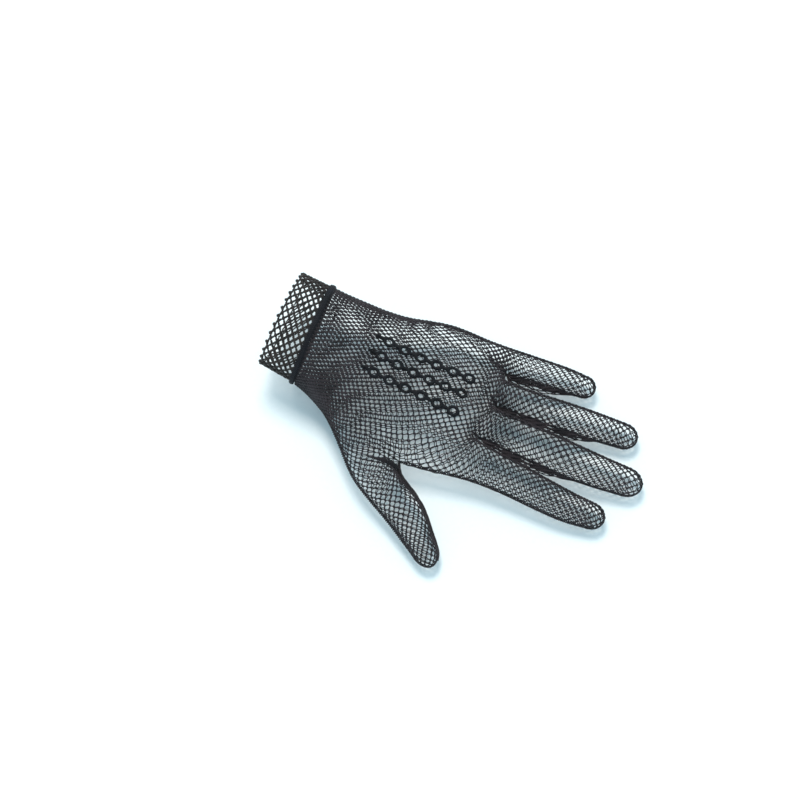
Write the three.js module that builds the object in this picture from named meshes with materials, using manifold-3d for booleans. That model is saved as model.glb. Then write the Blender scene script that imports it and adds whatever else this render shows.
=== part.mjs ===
// A wrist-length fishnet glove for a left hand, in the form that it has when worn palm down.
// Millimetres. +X runs from the wrist to the fingertips, +Y to the little finger, +Z out of the back of
// the hand. The origin is the middle of the cuff's opening, where the arm goes in.

import * as THREE from 'three';
import { mergeVertices } from 'three/addons/utils/BufferGeometryUtils.js';
import Module from 'manifold-3d';

const wasm = await Module();
wasm.setup();

// Driving dimensions
const NET_WALL = 1.0;
const CUFF_WALL = 1.4;
const BAND_WALL = 2.0;
const GAP = 0.3;
const BAND_START = 16.4;
const BAND_WIDTH = 2.4;
const HAND_SIDES = 26;
const DIGIT_SIDES = 14;
const HAND_STEP = 11;
const DIGIT_STEP = 11;
const FAR = 90;
const RUN_PAST = 2;
const HALVINGS = 30;
const MERGE_WITHIN = 1e-4;
const SIDE_MARGIN = 0.05;

const CUFF_COLUMNS = 24;
const CUFF_ROWS = 4;
const CUFF_STRAND = 1.5;
const CUFF_LENGTH = BAND_START - GAP;
const CUFF_HEM = 1.2;

const EYELET_COUNT = 6;
const EYELET_FIRST = 54.5;
const EYELET_PITCH = 8.1;
const EYELET_RADIUS = 2.7;
const EYELET_HOLE = 1.1;
const EYELET_THICKNESS = 1.2;
const EYELET_ARC = 5;
const HOLE_SIDES = 7;
const BAR_WIDTH = 1.9;
const TAIL_LENGTH = 6.8;
const TAIL_WIDTH = 1.2;

// Sections of the tube round the wrist and the palm. square is the exponent of the superellipse, where 2 is
// an ellipse, and turn is how far a section is yawed, in degrees.
const HAND = table(
  ['along', 'side', 'height', 'halfWidth', 'halfUp', 'halfDown', 'square', 'turn'],
  [
    [0, 0, 0, 25.4, 18, 18, 2, 4],
    [17.5, -0.7, -2.3, 25.9, 19, 19, 2, 5],
    [30, -0.6, -4.3, 26.0, 18, 18.3, 2.1, 3],
    [44, -1.3, -6.6, 28.2, 16.8, 17, 2.2, 0],
    [58, -2.1, -9, 32.4, 15.6, 15.8, 2.3, 0],
    [72, -2, -11, 36.4, 14.6, 14.6, 2.4, 0],
    [84, -2.1, -12.4, 37.3, 13.8, 13.2, 2.4, 0],
    [94, -2.8, -13.6, 35, 12.6, 12, 2.4, 0],
    [100, -3.4, -14.2, 32.6, 11.4, 11, 2.4, 0],
  ],
);
const HAND_CAP = 9;

// Sections of each digit, from inside the palm to where the rounded tip starts. cap is the tip's length.
const DIGIT_COLUMNS = ['along', 'side', 'height', 'halfWidth', 'halfUp'];
const DIGITS = {
  thumb: {
    cap: 10.5,
    sections: [
      [28, -13.6, -8, 13.2, 13.5],
      [44, -22.5, -11, 11.8, 13],
      [58, -34, -13, 11.6, 12],
      [70, -46.5, -14.2, 10.8, 10.4],
      [80, -53.6, -15.2, 9.3, 9.2],
      [93.2, -60.1, -16.8, 9.1, 8.4],
      [107.9, -71.5, -18.8, 6.5, 6.9],
    ],
  },
  index: {
    cap: 7.8,
    sections: [
      [78, -22, -12.2, 11.5, 12],
      [98, -23.9, -13, 12.2, 10.8],
      [114, -23.9, -13.8, 9.8, 9.4],
      [130, -23.7, -15.2, 8.9, 8.6],
      [148, -24.5, -16.8, 8.3, 7.8],
      [160, -24.7, -18, 7.8, 7],
      [172, -23.8, -19.4, 6.8, 6],
    ],
  },
  middle: {
    cap: 9,
    sections: [
      [80, -4, -12, 10, 12.5],
      [100, -3.6, -12.8, 8.6, 11],
      [114, -3.5, -13.5, 8.4, 9.6],
      [132, -3.4, -14.6, 8.9, 8.8],
      [152, -3.2, -16.2, 9, 8.3],
      [166, -2.4, -17.6, 8.4, 7.5],
      [180.5, -0.9, -19.4, 7.5, 6.4],
    ],
  },
  ring: {
    cap: 7.4,
    sections: [
      [80, 12, -12.6, 9.5, 11.5],
      [98, 12.9, -13.2, 7.6, 10],
      [110, 13.6, -13.8, 6.9, 8.6],
      [126, 14.9, -15, 7.1, 7.8],
      [146, 17.4, -16.8, 7.3, 7.3],
      [158, 18.9, -18, 7.2, 6.8],
      [171, 20.6, -19.6, 6.7, 5.9],
    ],
  },
  pinky: {
    cap: 6.2,
    sections: [
      [78, 26, -13, 9, 9.5],
      [92, 28.7, -13.6, 7.9, 9],
      [104, 30.8, -14.4, 6.9, 7.8],
      [114, 32.4, -15.2, 6.7, 7],
      [127.5, 34.2, -16.8, 6.7, 6.7],
      [135, 35.4, -17.9, 6.5, 6.3],
      [144, 36.4, -19.2, 5.9, 5.5],
    ],
  },
};

// Where each digit's tube starts: lines in plan, from a root just past the web out between two digits
const BETWEEN = table(
  ['rootAlong', 'rootSide', 'farAlong', 'farSide'],
  [
    [104, 60, 240, 60],
    [109.5, 22.5, 200, 34],
    [112, 5.8, 200, 12.2],
    [112, -13, 200, -17],
    [106, -38.5, 200, -38.5],
  ],
);
const FINGER_ORDER = ['pinky', 'ring', 'middle', 'index'];
const THUMB_ROOT = { along: 83, side: -41.6, farAlong: 150, farSide: -47, slope: [-0.6, -0.8] };

// The three rows of eyelets on the back. drift is how far the row leans to the little finger at its
// far end.
const EYELET_ROWS = table(
  ['side', 'drift'],
  [
    [6.3, 2.7],
    [-2.0, 2.0],
    [-10.8, 1.2],
  ],
);

const materials = {
  net: new THREE.MeshStandardMaterial({ color: '#2a2428', roughness: 0.75, metalness: 0 }),
  elastic: new THREE.MeshStandardMaterial({ color: '#17151a', roughness: 0.65, metalness: 0 }),
  thread: new THREE.MeshStandardMaterial({ color: '#121014', roughness: 0.6, metalness: 0 }),
};

function table(columns, rows) {
  return rows.map((row) => Object.fromEntries(columns.map((name, i) => [name, row[i]])));
}

function blendRows(rows, position) {
  // Catmull-Rom through every column at once
  const last = rows.length - 1;
  const index = Math.min(Math.floor(position), last - 1);
  const f = position - index;
  const pick = (k) => rows[Math.min(Math.max(k, 0), last)];
  const [before, from, to, after] = [pick(index - 1), pick(index), pick(index + 1), pick(index + 2)];
  const blended = {};
  for (const name of Object.keys(from)) {
    const [a, b, c, d] = [before[name], from[name], to[name], after[name]];
    const cubic = (-a + 3 * b - 3 * c + d) * f ** 3 + (2 * a - 5 * b + 4 * c - d) * f ** 2;
    blended[name] = 0.5 * (2 * b + (c - a) * f + cubic);
  }
  return blended;
}

function positionAt(rows, along) {
  // The row number, with its fraction, at which a tube reaches a distance along X
  let low = 0;
  let high = rows.length - 1;
  for (let step = 0; step < HALVINGS; step += 1) {
    const middle = (low + high) / 2;
    if (blendRows(rows, middle).along < along) low = middle;
    else high = middle;
  }
  return (low + high) / 2;
}

function sectionAt(rows, position) {
  const row = blendRows(rows, position);
  const centre = new THREE.Vector3(row.along, row.side, row.height);
  const step = 0.05;
  const ahead = blendRows(rows, Math.min(position + step, rows.length - 1));
  const behind = blendRows(rows, Math.max(position - step, 0));
  const forward = new THREE.Vector3(
    ahead.along - behind.along,
    ahead.side - behind.side,
    ahead.height - behind.height,
  ).normalize();
  const across = new THREE.Vector3(0, 0, 1).cross(forward).normalize();
  const up = forward.clone().cross(across);
  const turn = THREE.MathUtils.degToRad(row.turn ?? 0);
  across.applyAxisAngle(up, turn);
  forward.applyAxisAngle(up, turn);
  return {
    centre, forward, across, up,
    halfWidth: row.halfWidth,
    halfUp: row.halfUp,
    halfDown: row.halfDown ?? row.halfUp,
    square: row.square ?? 2,
  };
}

function pointOn(section, angle, inset = 0, shrink = 1, ahead = 0) {
  // A point of the superellipse, drawn in by inset, scaled by shrink and carried forward by ahead
  const c = Math.cos(angle);
  const s = Math.sin(angle);
  const n = section.square;
  const reach = (Math.abs(c) ** n + Math.abs(s) ** n) ** (-1 / n);
  const tall = s >= 0 ? section.halfUp : section.halfDown;
  return section.centre
    .clone()
    .addScaledVector(section.across, (section.halfWidth - inset) * shrink * c * reach)
    .addScaledVector(section.up, (tall - inset) * shrink * s * reach)
    .addScaledVector(section.forward, ahead);
}

function ringOf(section, sides, inset, shrink = 1, ahead = 0) {
  const angleOf = (k) => (k * 2 * Math.PI) / sides;
  return Array.from({ length: sides }, (_, k) => pointOn(section, angleOf(k), inset, shrink, ahead));
}

function meshGeometry(points, faces) {
  const geometry = new THREE.BufferGeometry();
  const numbers = points.flatMap((p) => p.toArray());
  geometry.setAttribute('position', new THREE.Float32BufferAttribute(numbers, 3));
  geometry.setIndex(faces);
  return geometry;
}

function tubeGeometry(rings, startPoint, endPoint) {
  const sides = rings[0].length;
  const points = [...rings.flat(), startPoint, endPoint];
  const start = points.length - 2;
  const end = points.length - 1;
  const last = (rings.length - 1) * sides;
  const faces = [];
  for (let k = 0; k < sides; k += 1) {
    const next = (k + 1) % sides;
    faces.push(start, next, k, end, last + k, last + next);
    for (let r = 0; r < last; r += sides) {
      faces.push(r + k, r + next, r + sides + k);
      faces.push(r + next, r + sides + next, r + sides + k);
    }
  }
  return meshGeometry(points, faces);
}

function sleeve(rows, { from, to, sides, inset, wall }) {
  // A ring of even wall, open at both ends
  const [start, end] = [sectionAt(rows, from), sectionAt(rows, to)];
  const corners = [
    [start, inset],
    [end, inset],
    [end, inset + wall],
    [start, inset + wall],
  ];
  const rings = corners.map(([section, depth]) => ringOf(section, sides, depth));
  const faces = [];
  for (let r = 0; r < rings.length; r += 1) {
    const nextRing = (r + 1) % rings.length;
    for (let k = 0; k < sides; k += 1) {
      const next = (k + 1) % sides;
      const [a, b] = [r * sides + k, r * sides + next];
      const [c, d] = [nextRing * sides + k, nextRing * sides + next];
      faces.push(a, b, c, b, d, c);
    }
  }
  return solid(meshGeometry(rings.flat(), faces));
}

function tube(rows, { from = 0, step, sides, inset = 0, overrun = 0, cap, capRings = 4 }) {
  // A closed solid along the sections: flat where it starts, with a rounded tip of length cap
  const to = rows.length - 1;
  const first = sectionAt(rows, from);
  const final = sectionAt(rows, to);
  const length = final.centre.distanceTo(first.centre);
  const count = Math.max(1, Math.round(length / step));
  const tip = cap - inset;
  const rings = [ringOf(first, sides, inset, 1, -overrun)];
  for (let k = 1; k < count; k += 1) {
    rings.push(ringOf(sectionAt(rows, from + ((to - from) * k) / count), sides, inset));
  }
  rings.push(ringOf(final, sides, inset));
  for (let k = 1; k < capRings; k += 1) {
    const angle = (k * Math.PI) / (2 * capRings);
    rings.push(ringOf(final, sides, inset, Math.cos(angle), tip * Math.sin(angle)));
  }
  const startPoint = first.centre.clone().addScaledVector(first.forward, -overrun);
  const endPoint = final.centre.clone().addScaledVector(final.forward, tip);
  return solid(tubeGeometry(rings, startPoint, endPoint));
}

function solid(geometry) {
  const bare = geometry.clone();
  bare.deleteAttribute('normal');
  bare.deleteAttribute('uv');
  const merged = mergeVertices(bare, MERGE_WITHIN);
  return new wasm.Manifold(
    new wasm.Mesh({
      numProp: 3,
      vertProperties: new Float32Array(merged.attributes.position.array),
      triVerts: new Uint32Array(merged.index.array),
    }),
  );
}

function union(solids) {
  return solids.reduce((sum, one) => sum.add(one));
}

function meshOf(name, body, material) {
  const { vertProperties, triVerts } = body.getMesh();
  const geometry = new THREE.BufferGeometry();
  geometry.setAttribute('position', new THREE.BufferAttribute(vertProperties, 3));
  geometry.setIndex(new THREE.BufferAttribute(triVerts, 1));
  geometry.computeVertexNormals();
  const mesh = new THREE.Mesh(geometry, material);
  mesh.name = name;
  return mesh;
}

function planPrism(corners) {
  // An upright block over a polygon in plan, tall enough to pass right through the glove
  const shape = new THREE.Shape(corners.map(([x, y]) => new THREE.Vector2(x, y)));
  const geometry = new THREE.ExtrudeGeometry(shape, { depth: 2 * FAR, bevelEnabled: false });
  geometry.translate(0, 0, -FAR);
  return solid(geometry);
}

// The net: one hollow form for the hand and the digits, then cut into the hand and five stalls
function gloveForm(inset) {
  const netStart = positionAt(HAND, BAND_START + BAND_WIDTH + GAP);
  const overrun = inset ? RUN_PAST : 0;
  const hand = tube(HAND, {
    from: netStart, step: HAND_STEP, sides: HAND_SIDES, inset, overrun, cap: HAND_CAP, capRings: 2,
  });
  const digits = Object.values(DIGITS).map(({ cap, sections }) =>
    tube(table(DIGIT_COLUMNS, sections), { step: DIGIT_STEP, sides: DIGIT_SIDES, inset, cap }),
  );
  return union([hand, ...digits]);
}

function fingerRegion(index, setback) {
  const [left, right] = [BETWEEN[index], BETWEEN[index + 1]];
  return planPrism([
    [left.rootAlong - setback, left.rootSide],
    [right.rootAlong - setback, right.rootSide],
    [right.farAlong, right.farSide],
    [left.farAlong, left.farSide],
  ]);
}

function thumbRegion(setback) {
  const { along, side, farAlong, farSide, slope } = THUMB_ROOT;
  const back = [setback * slope[1], -setback * slope[0]];
  return planPrism([
    [along + back[0], side + back[1]],
    [along + back[0] + FAR * slope[0], side + back[1] + FAR * slope[1]],
    [farAlong, side + FAR * slope[1]],
    [farAlong, farSide],
  ]);
}

// The cuff: a net of diamonds with a zigzag free edge, laid out as a flat sheet of column, row places first
function cuffSheet() {
  const columns = CUFF_COLUMNS;
  const pitch = {
    across: girth(HAND[0]) / columns,
    along: (CUFF_LENGTH - CUFF_HEM) / (CUFF_ROWS / 2 + 0.5),
  };
  const slant = Math.hypot(pitch.across, pitch.along);
  const half = {
    across: 0.5 - (CUFF_STRAND * slant) / (2 * pitch.along * pitch.across),
    along: 0.5 - (CUFF_STRAND * slant) / (2 * pitch.across * pitch.along),
  };
  const corner = (row, column, across, along) => [
    column + (row % 2) / 2 + across * half.across,
    (row / 2 + along * half.along) * pitch.along,
  ];
  const faces = [];
  const quad = (a, b, c, d) => faces.push([a, b, c], [a, c, d]);
  for (let column = 0; column < columns; column += 1) {
    for (let row = 0; row <= CUFF_ROWS; row += 1) {
      const ahead = column + (row % 2);
      const knot = [corner(row, column, 1, 0), corner(row, column + 1, -1, 0)];
      const fore = row < CUFF_ROWS ? [corner(row + 1, ahead, 0, -1)] : [];
      const back = row > 0 ? [corner(row - 1, ahead, 0, 1)] : [];
      if (back.length) faces.push([knot[0], back[0], knot[1]]);
      if (!fore.length) continue;
      faces.push([knot[0], knot[1], fore[0]]);
      quad(corner(row, column, 1, 0), fore[0], corner(row + 1, ahead, -1, 0), corner(row, column, 0, 1));
      quad(corner(row, column + 1, 0, 1), corner(row + 1, ahead, 1, 0), fore[0], knot[1]);
    }
    const [right, left] = [corner(CUFF_ROWS, column, 1, 0), corner(CUFF_ROWS, column + 1, -1, 0)];
    const [top, nextTop] = [corner(CUFF_ROWS, column, 0, 1), corner(CUFF_ROWS, column + 1, 0, 1)];
    const middle = column + 0.5 + (CUFF_ROWS % 2) / 2;
    const hem = [middle - 0.5, middle, middle + 0.5].map((at) => [at, CUFF_LENGTH]);
    faces.push([top, right, hem[0]], [right, hem[1], hem[0]], [right, left, hem[1]]);
    faces.push([left, hem[2], hem[1]], [left, nextTop, hem[2]]);
  }
  return faces;
}

function thicken(faces, columns, place) {
  // Gives a sheet of triangles a wall: an outer and an inner face, and a rim round every gap and edge
  const points = [];
  const numbers = new Map();
  const numberOf = ([column, along]) => {
    const turn = ((column % columns) + columns) % columns;
    const key = `${turn.toFixed(4)} ${along.toFixed(4)}`;
    if (!numbers.has(key)) {
      numbers.set(key, numbers.size);
      points.push(place(turn, along, 0), place(turn, along, 1));
    }
    return 2 * numbers.get(key);
  };
  const sheet = faces.map((face) => face.map(numberOf));
  const edges = new Set(sheet.flatMap(([a, b, c]) => [`${a} ${b}`, `${b} ${c}`, `${c} ${a}`]));
  const shell = sheet.flatMap(([a, b, c]) => [a, b, c, a + 1, c + 1, b + 1]);
  for (const edge of edges) {
    const [a, b] = edge.split(' ').map(Number);
    if (!edges.has(`${b} ${a}`)) shell.push(a, b + 1, b, a, a + 1, b + 1);
  }
  return solid(meshGeometry(points, shell));
}

function cuff() {
  const place = (column, along, depth) => {
    const section = sectionAt(HAND, positionAt(HAND, along));
    return pointOn(section, (column * 2 * Math.PI) / CUFF_COLUMNS, depth * CUFF_WALL);
  };
  return thicken(cuffSheet(), CUFF_COLUMNS, place);
}

function girth({ halfWidth, halfUp }) {
  const sum = halfWidth + halfUp;
  return Math.PI * (3 * sum - Math.sqrt((2 * halfWidth + sum) * (2 * halfUp + sum)));
}

function outward(section, angle) {
  const step = 0.02;
  const along = pointOn(section, angle + step).sub(pointOn(section, angle - step));
  return along.cross(section.forward).normalize();
}

function band() {
  return sleeve(HAND, {
    from: positionAt(HAND, BAND_START),
    to: positionAt(HAND, BAND_START + BAND_WIDTH),
    sides: HAND_SIDES,
    inset: (CUFF_WALL - BAND_WALL) / 2,
    wall: BAND_WALL,
  });
}

// The eyelets: rings joined by short bars, lying on the net
function backPoint(along, side) {
  // The point of the back over a place in plan, with the direction straight out of the net there
  const section = sectionAt(HAND, positionAt(HAND, along));
  let low = SIDE_MARGIN;
  let high = Math.PI - SIDE_MARGIN;
  for (let step = 0; step < HALVINGS; step += 1) {
    const middle = (low + high) / 2;
    if (pointOn(section, middle).y > side) low = middle;
    else high = middle;
  }
  const angle = (low + high) / 2;
  return { point: pointOn(section, angle), normal: outward(section, angle), forward: section.forward };
}

function rowSide(row, along) {
  const length = (EYELET_COUNT - 1) * EYELET_PITCH;
  const share = Math.max(along - EYELET_FIRST, 0) / length;
  return row.side + row.drift * share ** 2;
}

function eyeletPlaces(row) {
  return Array.from({ length: EYELET_COUNT }, (_, k) => {
    const along = EYELET_FIRST + k * EYELET_PITCH;
    return backPoint(along, rowSide(row, along));
  });
}

function chainOutline() {
  // The chain in plan from its first ring: round at each ring, narrow along each bar, with a tail behind
  const bite = Math.asin(BAR_WIDTH / 2 / EYELET_RADIUS);
  const tailBite = Math.asin(TAIL_WIDTH / 2 / EYELET_RADIUS);
  const ring = (k, from, to, corners) => Array.from({ length: corners }, (_, n) => {
    const angle = from + ((to - from) * n) / (corners - 1);
    return new THREE.Vector2(
      k * EYELET_PITCH + EYELET_RADIUS * Math.cos(angle),
      EYELET_RADIUS * Math.sin(angle),
    );
  });
  const last = EYELET_COUNT - 1;
  const near = [];
  for (let k = 0; k < last; k += 1) {
    near.push(...ring(k, (k ? bite : tailBite) - Math.PI, -bite, EYELET_ARC));
  }
  const far = near.map((p) => new THREE.Vector2(p.x, -p.y)).reverse();
  const tip = ring(last, bite - Math.PI, Math.PI - bite, 2 * EYELET_ARC);
  const tail = [TAIL_WIDTH / 2, -TAIL_WIDTH / 2].map((y) => new THREE.Vector2(-TAIL_LENGTH, y));
  const shape = new THREE.Shape([...near, ...tip, ...far, ...tail]);
  const share = EYELET_HOLE / EYELET_RADIUS;
  for (let k = 0; k <= last; k += 1) {
    const middle = new THREE.Vector2(k * EYELET_PITCH, 0);
    const rim = ring(k, 0, 2 * Math.PI, HOLE_SIDES + 1).slice(1);
    const hole = rim.map((p) => p.sub(middle).multiplyScalar(share).add(middle));
    shape.holes.push(new THREE.Path(hole.reverse()));
  }
  return shape;
}

function eyeletRow(row) {
  const depth = EYELET_THICKNESS;
  const geometry = new THREE.ExtrudeGeometry(chainOutline(), { depth, bevelEnabled: false });
  const places = geometry.attributes.position;
  for (let k = 0; k < places.count; k += 1) {
    const along = EYELET_FIRST + places.getX(k);
    const place = backPoint(along, rowSide(row, along) + places.getY(k));
    const laid = place.point.addScaledVector(place.normal, GAP + places.getZ(k));
    places.setXYZ(k, laid.x, laid.y, laid.z);
  }
  return solid(geometry);
}

function eyeletHole(place) {
  const geometry = new THREE.CylinderGeometry(EYELET_HOLE, EYELET_HOLE, 2 * RUN_PAST, HOLE_SIDES);
  const turn = new THREE.Quaternion().setFromUnitVectors(new THREE.Vector3(0, 1, 0), place.normal);
  geometry.applyQuaternion(turn);
  geometry.translate(place.point.x, place.point.y, place.point.z);
  return solid(geometry);
}

// Assembly
const glove = new THREE.Group();
const net = gloveForm(0).subtract(gloveForm(NET_WALL));
const holes = union(EYELET_ROWS.flatMap(eyeletPlaces).map(eyeletHole));
const stallRegions = union([...FINGER_ORDER.map((_, k) => fingerRegion(k, GAP)), thumbRegion(GAP)]);
glove.add(meshOf('hand_net', net.subtract(stallRegions).subtract(holes), materials.net));
glove.add(meshOf('thumb_stall', net.intersect(thumbRegion(0)), materials.net));
FINGER_ORDER.forEach((name, k) => {
  glove.add(meshOf(`${name}_stall`, net.intersect(fingerRegion(k, 0)), materials.net));
});
glove.add(meshOf('wrist_band', band(), materials.elastic));
glove.add(meshOf('cuff_net', cuff(), materials.net));
EYELET_ROWS.forEach((row, k) => {
  glove.add(meshOf(`eyelet_row_${k + 1}`, eyeletRow(row), materials.thread));
});

export default glove;
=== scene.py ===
import functools
import math

import bpy
import numpy as np
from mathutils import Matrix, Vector


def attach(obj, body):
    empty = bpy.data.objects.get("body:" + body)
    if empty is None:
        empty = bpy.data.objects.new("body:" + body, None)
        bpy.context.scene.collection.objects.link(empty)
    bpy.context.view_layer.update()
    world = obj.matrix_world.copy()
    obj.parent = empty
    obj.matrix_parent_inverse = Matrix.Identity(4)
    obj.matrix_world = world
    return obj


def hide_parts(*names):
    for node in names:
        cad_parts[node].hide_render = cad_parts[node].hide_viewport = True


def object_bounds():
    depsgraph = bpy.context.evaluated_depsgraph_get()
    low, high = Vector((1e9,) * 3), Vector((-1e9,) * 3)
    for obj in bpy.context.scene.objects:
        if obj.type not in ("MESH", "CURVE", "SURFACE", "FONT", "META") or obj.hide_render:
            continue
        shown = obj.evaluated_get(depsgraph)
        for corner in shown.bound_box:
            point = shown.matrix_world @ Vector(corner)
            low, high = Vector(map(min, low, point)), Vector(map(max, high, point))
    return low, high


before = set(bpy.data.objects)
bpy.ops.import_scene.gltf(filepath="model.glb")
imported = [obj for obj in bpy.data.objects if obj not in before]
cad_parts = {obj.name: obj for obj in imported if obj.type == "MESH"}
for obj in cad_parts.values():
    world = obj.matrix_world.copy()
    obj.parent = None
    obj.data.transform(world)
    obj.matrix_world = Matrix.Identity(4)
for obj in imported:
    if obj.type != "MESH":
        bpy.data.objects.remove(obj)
cad_low, cad_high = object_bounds()

# A left-hand fishnet glove, in the form that it has when worn palm down. Hand, palm, thumb and digit name
# the glove's own parts. Lengths are in millimetres, and turn into metres where a mesh, a light or the
# camera is made. X runs along the glove from the cuff's mouth to the fingertips, Y to the little finger's
# side, and Z up out of the back.
MM = 0.001
TINY = 1e-9
# Turned by this, in radians, one strand after another starts or lies at a place of its own.
GOLDEN_ANGLE = 2.4

# The faces round thin yarn, as in the fine net, and round stouter yarn
THIN_SIDES = 5
STOUT_SIDES = 6

# The fine net's yarn: its radius, its share of that on the palm, the length between two knots at which it
# is as thick as that, and the shares that it stays between where the net is slack or stretched.
NET_YARN = 0.235
PALM_SHARE = 0.55
EASY_STRAND = 2.45
LEAST_BULK = 0.8
MOST_BULK = 1.3

# A knot of the fine net: its size along the rows, across them and out of the net, how far each chain runs
# straight through it either way, how far beside its middle in radii of the yarn, and how many times closer
# the yarn winds on it than in a strand. A knot is repeated thousands of times, so it has few faces.
NET_KNOT = (1.5, 1.32, 0.85)
KNOT_RUN = 0.45
KNOT_ASIDE = 0.8
KNOT_WINDING = 3.5
KNOT_SEGMENTS, KNOT_RINGS = 6, 4

# Where the fine net lies: how far inside the glove's form, where it leaves the band, and the height of half
# a diamond before the net is pulled even.
NET_DEPTH = 0.45
NET_START = 18.9
ROW_HEIGHT = 1.86

# The cuff: a coarser net of two-ply strands, from its free zigzag edge to the band. A ply has its radius,
# how far it is from the strand's middle in radii, and its lay, the length of one turn. A knot is given as
# in the fine net. The edge is at CUFF_EDGE along the glove, and the whole net CUFF_DEPTH inside the form.
# The strands are thicker at the edge. They thin on the underside, from where the direction out of the net
# has the first of two heights to where it has the second.
CUFF_COLUMNS = 30
CUFF_EDGE = 0.9
CUFF_FIRST_ROW = 1.9
CUFF_ROW_HEIGHT = 1.7
CUFF_ROWS = 10
CUFF_PLY = 0.31
CUFF_PLY_ASIDE = 0.95
CUFF_LAY = 2.9
CUFF_KNOT = (1.8125, 1.74, 1.45)
CUFF_KNOT_RUN = 0.45
CUFF_KNOT_ASIDE = 1.28
CUFF_EDGE_SHARE = 1.15
CUFF_DEPTH = 0.75
CUFF_UNDERSIDE = (-0.15, -0.65)
CUFF_UNDER_SHARE = 0.3
CUFF_STEP = 0.5
CUFF_SMOOTHINGS = 1

# The elastic band: where it starts, its width and its wall, and how far inside the glove's form its middle
# is. Its core lies just inside a cover of slanted stitches, and its section is a rounded bar, which a power
# under 1 squares. On the underside the band is narrower, and slips back towards the cuff.
BAND_START = 16.4
BAND_WIDTH = 2.4
BAND_MIDDLE = BAND_START + BAND_WIDTH / 2
BAND_WALL = 1.6
BAND_DEPTH = 0.2
BAND_UNDERSIDE = (0.5, -0.5)
BAND_UNDER_SHARE = 0.6
BAND_UNDER_SLIP = 0.8
BAND_SQUARENESS = 0.7
BAND_CORE_INSET = 0.1
BAND_SECTIONS = 240
BAND_SIDES = 12

# Three rows of stitches round the band, each with its place across the band, the way that it leans and how
# proud it stands, and the arch of one stitch: shares of its half length, with the rise over the band there.
STITCHES = 150
STITCH_THREAD = 0.3
STITCH_INSET = 0.05
STITCH_HALF_LENGTH = 0.62
STITCH_SLANT = 0.3
STITCH_ROWS = (
    {"across": -0.72, "lean": 1, "proud": 0.86, "shift": 0},
    {"across": 0, "lean": -1, "proud": 1, "shift": 0.5},
    {"across": 0.72, "lean": 1, "proud": 0.86, "shift": 0},
)
STITCH_ARCH = ((-1, -0.25), (-0.45, 0.08), (0.45, 0.08), (1, -0.25))

# The seam round the outline: how far its two plies are from its middle, their radius and their lay. It
# stands out on the thumb's side of the forefinger and the thumb, where it is drawn thicker, partly as
# painted shade along that edge, away from the light. Round the tips it is nearly lost, and the net's own
# yarn is
# TIP_SHARE as thick.
SEAM_PLY = 0.25
SEAM_YARN = 0.27
SEAM_LAY = 2.2
SEAM_STEP = 0.5
SEAM_SMOOTHINGS = 3
OUTER_SEAM_AND_SHADE = 2.6
TIP_SEAM = 0.12
TIP_SHARE = 0.42

# Where the net bunches at a web, its strands run as loose bundles: one down the side of the digit, which at
# first fills the gap, and one a short way back over the hand. They are partly the net's own bunching and
# partly painted shade: dark strands laid where the webs and the gaps between the digits fall in shadow.
# Each has its length, the length that keeps its full width, its half widths at the web and at its end, and
# the power of its taper, which under 1 thins it at once. The thumb's bundle on the back follows THUMB_FOLD,
# two places in plan, and so has no length.
BUNCH_YARN = 0.31
BUNCH_LAY = 30
BUNCH_STRANDS = 18
BUNCH_INNERMOST = 0.1
BUNCH_PROUD = 0.75
BUNCH_OVERLAP = 0.4
BUNCH_LEAST = 1.2
BUNCH_NECK = 0.3
BUNCH_STEP = 0.7
BUNCH_SMOOTHINGS = 2
FOLD_RISE = 0.4
GAP_BUNCHES_AND_SHADE = {
    "pinky": {"length": 35, "full": 22, "start": 2.4, "end": 0.3, "taper": 1},
    "ring": {"length": 57, "full": 38, "start": 2.0, "end": 0.3, "taper": 1},
    "middle": {"length": 51, "full": 31, "start": 2.0, "end": 0.3, "taper": 1},
    "thumb": {"length": 60, "full": 0, "start": 1.2, "end": 0.6, "taper": 0.3},
}
BACK_BUNCHES_AND_SHADE = {
    "pinky": {"length": 14, "full": 0, "start": 1.3, "end": 0.2, "taper": 1},
    "ring": {"length": 10, "full": 0, "start": 0.9, "end": 0.1, "taper": 1},
    "middle": {"length": 10, "full": 0, "start": 0.9, "end": 0.1, "taper": 1},
    "thumb": {"full": 0, "start": 2.5, "end": 0.2, "taper": 0.6},
}
THUMB_FOLD = ((81.4, -42.6), (68.8, -46.5))
THUMB_FOLD_POINTS = 9
THUMB_TIP_SHARE = 0.4

# The three rows of eyelets on the back. drift is how far a row leans to the little finger at its far end,
# and all rings start at EYELET_FIRST along the hand and stand EYELET_RISE proud of the net.
EYELET_ROWS = (
    {"side": 6.3, "drift": 2.7},
    {"side": -2.0, "drift": 2.0},
    {"side": -10.8, "drift": 1.2},
)
EYELET_COUNT = 6
EYELET_FIRST = 54.5
EYELET_PITCH = 8.1
EYELET_OFFSETS = np.arange(EYELET_COUNT) * EYELET_PITCH
EYELET_RISE = 0.4

# The radius of the hole that an eyelet opens in the net, for strands and for knots, how near an eyelet a
# chain is looked at, and the step at which it is cut.
EYELET_CUT = 1.45
KNOT_CUT = 1.75
CUT_REACH = 3 * EYELET_CUT
CUT_STEP = 0.4

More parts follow.
